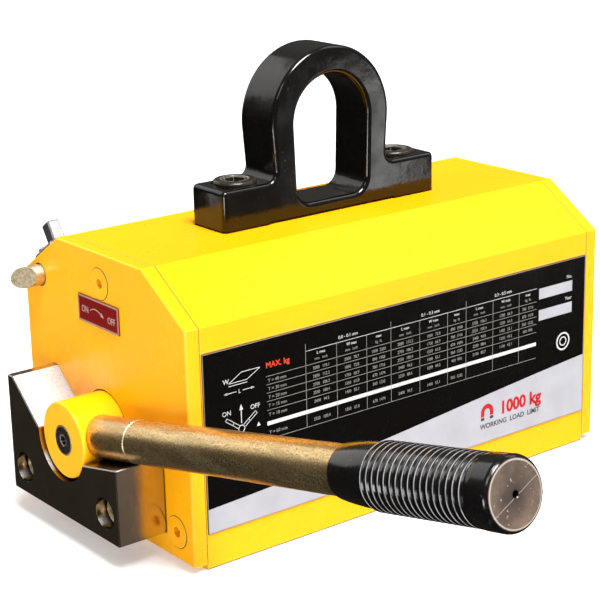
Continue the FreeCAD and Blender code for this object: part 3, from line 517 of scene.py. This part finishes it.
MATERIALS = {
    "yellow_paint": yellow_paint(),
    "black_enamel": black_enamel(),
    "dark_steel": dark_steel(),
    "galvanised": galvanised(),
    "yellow_zinc": plated("yellow_zinc", (0.96, 0.86, 0.64), (0.50, 0.38, 0.22), 0.50, 620),
    "bright_zinc": plated("bright_zinc", (0.74, 0.74, 0.74), (0.50, 0.50, 0.51), 0.36, 420),
    "machined_steel": turned_metal("machined_steel", (0.60, 0.60, 0.60), (0.42, 0.42, 0.42), 0.26),
    "black_oxide": black_oxide(),
    "magnet": turned_metal("magnet", (0.66, 0.66, 0.68), (0.55, 0.55, 0.57), 0.16),
    "brass": turned_metal("brass", (0.74, 0.55, 0.22), (0.58, 0.41, 0.15), 0.24),
    "bronze": turned_metal("bronze", (0.62, 0.40, 0.20), (0.46, 0.28, 0.13), 0.28),
    "grip_plastic": grip_plastic(),
    "seal_rubber": seal_rubber(),
    "label_print": print_ink("label_print", (0.0014, 0.0008, 0.0006), 0.22),
    "badge_red": print_ink("badge_red", (0.19, 0.0015, 0.0015), 0.32),
    "foil_silver": print_ink("foil_silver", (0.44, 0.44, 0.475), 0.34, 0.15),
    "foil_white": print_ink("foil_white", (0.55, 0.55, 0.54), 0.4),
    "foil_grey": print_ink("foil_grey", (0.24, 0.23, 0.21), 0.4),
    "foil_orange": print_ink("foil_orange", (0.62, 0.045, 0.008), 0.4),
    "foil_red": print_ink("foil_red", (0.45, 0.006, 0.008), 0.4),
    "foil_pale": print_ink("foil_pale", (0.42, 0.34, 0.30), 0.4),
    "foil_frame": print_ink("foil_frame", (0.36, 0.22, 0.16), 0.35),
    "foil_ink": print_ink("foil_ink", (0.05, 0.05, 0.055), 0.4),
}


def dress_nodes():
    """Every CAD node gets the material of its slot in the record."""
    slots = {part["node"]: part["material_slot"] for part in frame["record"]["subparts"]}
    for name, node in NODES.items():
        node.data.materials.clear()
        node.data.materials.append(MATERIALS[slots[name]])


# ---------------------------------------------------------------- printed artwork
CAPITAL_SHARE = 0.72                   # height of a capital as a share of the font's size


class Print:
    """Thin closed shapes laid on a flat CAD face, collected into one mesh per ink.

    u runs to the viewer's right and v up, in millimetres from the face's lower left corner."""

    def __init__(self, name, corner, right, out, body):
        self.name, self.corner, self.body = name, Vector(corner), body
        self.right, self.up, self.out = Vector(right), Vector((0, 0, 1)), Vector(out)
        self.inks = {}

    def mesh(self, ink):
        if ink not in self.inks:
            self.inks[ink] = bmesh.new()
        return self.inks[ink]

    def point(self, u, v, lift):
        return self.corner + (self.right * u + self.up * v + self.out * lift) * MM

    def shape(self, ink, outline, low=0.0, high=0.05):
        """Closed prism from a flat outline of (u, v) points."""
        target = self.mesh(ink)
        bottom = [target.verts.new(self.point(u, v, low)) for u, v in outline]
        top = [target.verts.new(self.point(u, v, high)) for u, v in outline]
        target.faces.new(top)
        target.faces.new(bottom[::-1])
        for k in range(len(outline)):
            after = (k + 1) % len(outline)
            target.faces.new((bottom[k], bottom[after], top[after], top[k]))

    def bar(self, ink, u0, v0, u1, v1, **lift):
        self.shape(ink, [(u0, v0), (u1, v0), (u1, v1), (u0, v1)], **lift)

    def stroke(self, ink, start, end, width, **lift):
        """Straight stroke between two points."""
        a, b = Vector(start), Vector(end)
        side = (b - a).normalized().orthogonal() * width / 2
        self.shape(ink, [a - side, b - side, b + side, a + side], **lift)

    def ring(self, ink, centre, radius, width, steps=28, **lift):
        for k in range(steps):
            a, b = 2 * pi * k / steps, 2 * pi * (k + 1) / steps
            corners = []
            for turn, reach in ((a, radius - width), (a, radius), (b, radius), (b, radius - width)):
                corners.append((centre[0] + reach * cos(turn), centre[1] + reach * sin(turn)))
            self.shape(ink, corners, **lift)

    def text(self, ink, words, u, v, height, align="LEFT", squeeze=1.0, low=0.0, high=0.05, weight=0.0):
        """Capital height in millimetres; squeeze narrows the letters and weight thickens them."""
        curve = bpy.data.curves.new("text", "FONT")
        curve.body = words
        curve.size = height * MM / CAPITAL_SHARE
        curve.align_x = align
        curve.resolution_u = 3
        curve.offset = weight * MM
        curve.extrude = (high - low) / 2 * MM
        writing = bpy.data.objects.new("text", curve)
        bpy.context.scene.collection.objects.link(writing)
        bpy.context.view_layer.update()
        view = bpy.context.evaluated_depsgraph_get()
        letters = bpy.data.meshes.new_from_object(writing.evaluated_get(view))
        turn = Matrix((self.right, self.up, self.out)).transposed().to_4x4()
        place = Matrix.Translation(self.point(u, v, (low + high) / 2)) @ turn
        letters.transform(place @ Matrix.Diagonal((squeeze, 1, 1, 1)))
        self.mesh(ink).from_mesh(letters)
        bpy.data.objects.remove(writing)
        bpy.data.meshes.remove(letters)

    def finish(self):
        for ink, shape in self.inks.items():
            bmesh.ops.recalc_face_normals(shape, faces=shape.faces)
            mesh = bpy.data.meshes.new(f"{self.name}_{ink}")
            shape.to_mesh(mesh)
            shape.free()
            mesh.materials.append(MATERIALS[ink])
            piece = bpy.data.objects.new(mesh.name, mesh)
            bpy.context.scene.collection.objects.link(piece)
            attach(piece, self.body)


TABLE_LEFT, TABLE_RIGHT = 35.3, 211.3
TABLE_TOP, TABLE_BOTTOM = 76.0, 38.0
GROUP_STARTS = (58.5, 111.2, 161.1)
COLUMN_WIDTHS = (18.7, 18.6, 14.4)
ROW_TOPS = (68.9, 64.8, 60.7, 56.6, 52.2)
HEAVY_LINE = (44.9, 46.8)
THICKNESSES = (40, 30, 20, 15, 10)
HEADINGS = (("L max", "mm   inch"), ("W max", "mm   inch"), ("max", "kg  lb"))


def silver_edge(u, length):
    """Height of the silver field's sweeping upper edge."""
    t = u / length
    return 12.2 + 8.5 * t + 24.5 * t * t - 12.9 * t ** 3


def data_plate():
    low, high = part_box("side_label")
    plate = Print("label", (low.x, low.y, low.z), (1, 0, 0), (0, -1, 0), "housing")
    length, height = (high.x - low.x) / MM, (high.z - low.z) / MM
    steps = 24
    top = [(length * k / steps, silver_edge(length * k / steps, length)) for k in range(steps + 1)]
    plate.shape("foil_silver", [(0, 0), (length, 0)] + top[::-1])
    load_table(plate)
    size_sketch(plate)
    lever_sketch(plate)
    number_fields(plate)
    rating_corner(plate)
    border = 0.35
    for box in ((0, 0, length, border), (0, height - border, length, height),
                (0, 0, border, height), (length - border, 0, length, height)):
        plate.bar("foil_grey", *box, high=0.07)
    plate.finish()


def cell(column, step):
    """Length or width in millimetres and inches, or load in kilograms and pounds."""
    amount = ((3000, 2000, 1000)[column] - (150, 150, 110)[column] * step) // 10 * 10
    if column == 2:
        return f"{amount}  {amount * 2.2:.0f}"
    return f"{amount}   {amount / 25.4:.1f}"


def load_table(plate):
    hair = 0.22
    last = GROUP_STARTS[-1] + COLUMN_WIDTHS[0] + COLUMN_WIDTHS[1]
    columns = []
    for start in GROUP_STARTS:
        plate.bar("foil_grey", start, TABLE_BOTTOM, start + hair, TABLE_TOP + 3.6)
        columns += [start, start + COLUMN_WIDTHS[0], start + COLUMN_WIDTHS[0] + COLUMN_WIDTHS[1]]
    for u in columns:
        if u not in GROUP_STARTS:
            plate.bar("foil_grey", u, TABLE_BOTTOM, u + hair, TABLE_TOP)
    plate.bar("foil_white", GROUP_STARTS[0], TABLE_TOP, TABLE_RIGHT, TABLE_TOP + hair)
    for v in ROW_TOPS:
        plate.bar("foil_grey", TABLE_LEFT, v, TABLE_RIGHT, v + hair)
    plate.bar("foil_grey", TABLE_LEFT, TABLE_BOTTOM, TABLE_RIGHT, TABLE_BOTTOM + hair)
    plate.bar("foil_white", TABLE_LEFT, HEAVY_LINE[0], TABLE_RIGHT, HEAVY_LINE[1])
    for start, gap in zip(GROUP_STARTS, ("0.0 - 0.1 mm", "0.1 - 0.3 mm", "0.3 - 0.5 mm")):
        plate.text("foil_white", gap, start + 26, TABLE_TOP + 1.7, 1.7, "CENTER")
    for k, u in enumerate(columns):
        middle = (u + (columns + [TABLE_RIGHT])[k + 1]) / 2
        heading, units = HEADINGS[k % 3]
        plate.text("foil_white", heading, middle, TABLE_TOP - 2.6, 1.5, "CENTER")
        plate.text("foil_grey", units, middle, TABLE_TOP - 5.4, 1.4, "CENTER")
        for row, v in enumerate(ROW_TOPS):
            if u > last - 1 and row > 3:
                continue
            plate.text("foil_grey", cell(k % 3, row + k // 3), middle, v - 2.9, 1.6, "CENTER", squeeze=0.9)
        if k < 6:
            amount = cell(k % 3, 3 + k // 3)
            plate.text("foil_grey", amount, middle, TABLE_BOTTOM + 2.4, 1.6, "CENTER", squeeze=0.9)
    for v, thickness in zip(ROW_TOPS, THICKNESSES):
        plate.text("foil_grey", f"T = {thickness} mm", TABLE_LEFT + 1, v - 2.9, 1.7)
    plate.text("foil_grey", "T = 60 mm", TABLE_LEFT + 1, TABLE_BOTTOM + 2.4, 1.7)
    plate.text("foil_orange", "MAX. kg", TABLE_LEFT, 73.1, 2.8, weight=0.09)


def size_sketch(plate):
    """Small drawing of a plate with its width and length."""
    plate.text("foil_white", "W", 10.8, 70.6, 2.4)
    corners = [(14.0, 70.4), (21.5, 74.6), (32.0, 74.6), (24.5, 70.4)]
    for a, b in zip(corners, corners[1:] + corners[:1]):
        plate.stroke("foil_white", a, b, 0.28)
    plate.bar("foil_white", 14.0, 69.0, 24.5, 69.3)
    plate.stroke("foil_white", (12.4, 65.8), (18.4, 65.8), 0.3)
    plate.stroke("foil_white", (21.8, 65.8), (27.4, 65.8), 0.3)
    plate.shape("foil_white", [(11.2, 65.8), (13.2, 65.2), (13.2, 66.4)])
    plate.shape("foil_white", [(28.6, 65.8), (26.6, 66.4), (26.6, 65.2)])
    plate.text("foil_white", "L", 20.1, 64.8, 2.0, "CENTER")


def lever_sketch(plate):
    """ON and OFF lever positions round a pivot, with an arrow between."""
    pivot = Vector((20.6, 47.2))
    plate.ring("foil_white", pivot, 1.9, 0.35)
    for way in (-1, 1):
        along = Vector((way * sin(radians(54)), cos(radians(54))))
        side = Vector((along.y, -along.x))
        start, end = pivot + along * 2.1, pivot + along * 10.6
        for shift in (-0.75, 0.75):
            plate.stroke("foil_white", start + side * shift, end + side * shift, 0.28)
        for at in (end, pivot + along * 5.6):
            plate.stroke("foil_white", at - side * 0.75, at + side * 0.75, 0.28)
    plate.stroke("foil_white", (20.6, 50.0), (20.6, 56.6), 0.45)
    plate.shape("foil_white", [(19.5, 56.4), (21.7, 56.4), (20.6, 59.2)])
    plate.text("foil_white", "ON", 12.4, 55.3, 2.3, "CENTER")
    plate.text("foil_white", "OFF", 28.6, 55.3, 2.3, "CENTER")
    plate.shape("foil_white", [(29.3, 46.2), (31.3, 46.2), (30.3, 48.2)])


def number_fields(plate):
    """Blank boxes for a number and a year, and a blank inspection stamp."""
    for v, words in ((69.8, "No."), (58.1, "Year")):
        plate.bar("foil_silver", 213.0, v, 237.6, v + 5.8)
        plate.text("foil_white", words, 237.4, v + 7.4, 1.9, "RIGHT")
    plate.ring("foil_white", (231.5, 43.0), 5.0, 0.9)
    plate.ring("foil_white", (231.5, 43.0), 2.6, 0.6)


def rating_corner(plate):
    """Rated load beside a small horseshoe magnet, on the silver field."""
    low, high = 0.05, 0.11
    middle, spring, outer, inner = 176.4, 16.6, 4.4, 2.0
    steps = 12
    for k in range(steps):
        corners = []
        for step, reach in ((k, inner), (k, outer), (k + 1, outer), (k + 1, inner)):
            turn = pi * step / steps
            corners.append((middle + reach * cos(turn), spring + reach * sin(turn)))
        plate.shape("foil_red", corners, low=low, high=high)
    for side in (-1, 1):
        a, b = sorted((middle + side * inner, middle + side * outer))
        plate.bar("foil_red", a, 14.4, b, spring, low=low, high=high)
        plate.bar("foil_ink", a, 12.4, b, 13.9, low=low, high=high)
    plate.text("foil_red", "1000 kg", 185.5, 13.2, 6.8, weight=0.34, low=low, high=high)
    plate.text("foil_ink", "WORKING  LOAD  LIMIT", 171.5, 7.7, 2.8, weight=0.07, low=low, high=high)


def on_off_badge():
    """Red badge with a grey frame, ON and OFF, and an arrow that arches from one to the other."""
    low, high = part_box("on_off_badge")
    badge = Print("badge", (low.x, high.y, low.z), (0, -1, 0), (-1, 0, 0), "housing")
    width, height = (high.y - low.y) / MM, (high.z - low.z) / MM
    rim = 0.9
    for box in ((0, 0, width, rim), (0, height - rim, width, height),
                (0, rim, rim, height - rim), (width - rim, rim, width, height - rim)):
        badge.bar("foil_frame", *box, high=0.12)
    badge.text("foil_pale", "ON", 3.2, 5.0, 3.5, squeeze=0.8, high=0.08)
    badge.text("foil_pale", "OFF", width - 2.8, 4.0, 3.5, "RIGHT", squeeze=0.8, high=0.08)
    arch = [(11.2 + 9.6 * k / 8, 6.9 + 1.5 * sin(pi * (k / 8) ** 0.8)) for k in range(9)]
    for start, end in zip(arch, arch[1:]):
        badge.stroke("foil_pale", start, end, 0.45, high=0.08)
    badge.shape("foil_pale", [(20.3, 6.0), (23.0, 5.6), (21.3, 7.9)], high=0.08)
    badge.finish()


# ---------------------------------------------------------------- build
add_camera()
add_studio()
dress_nodes()
data_plate()
on_off_badge()
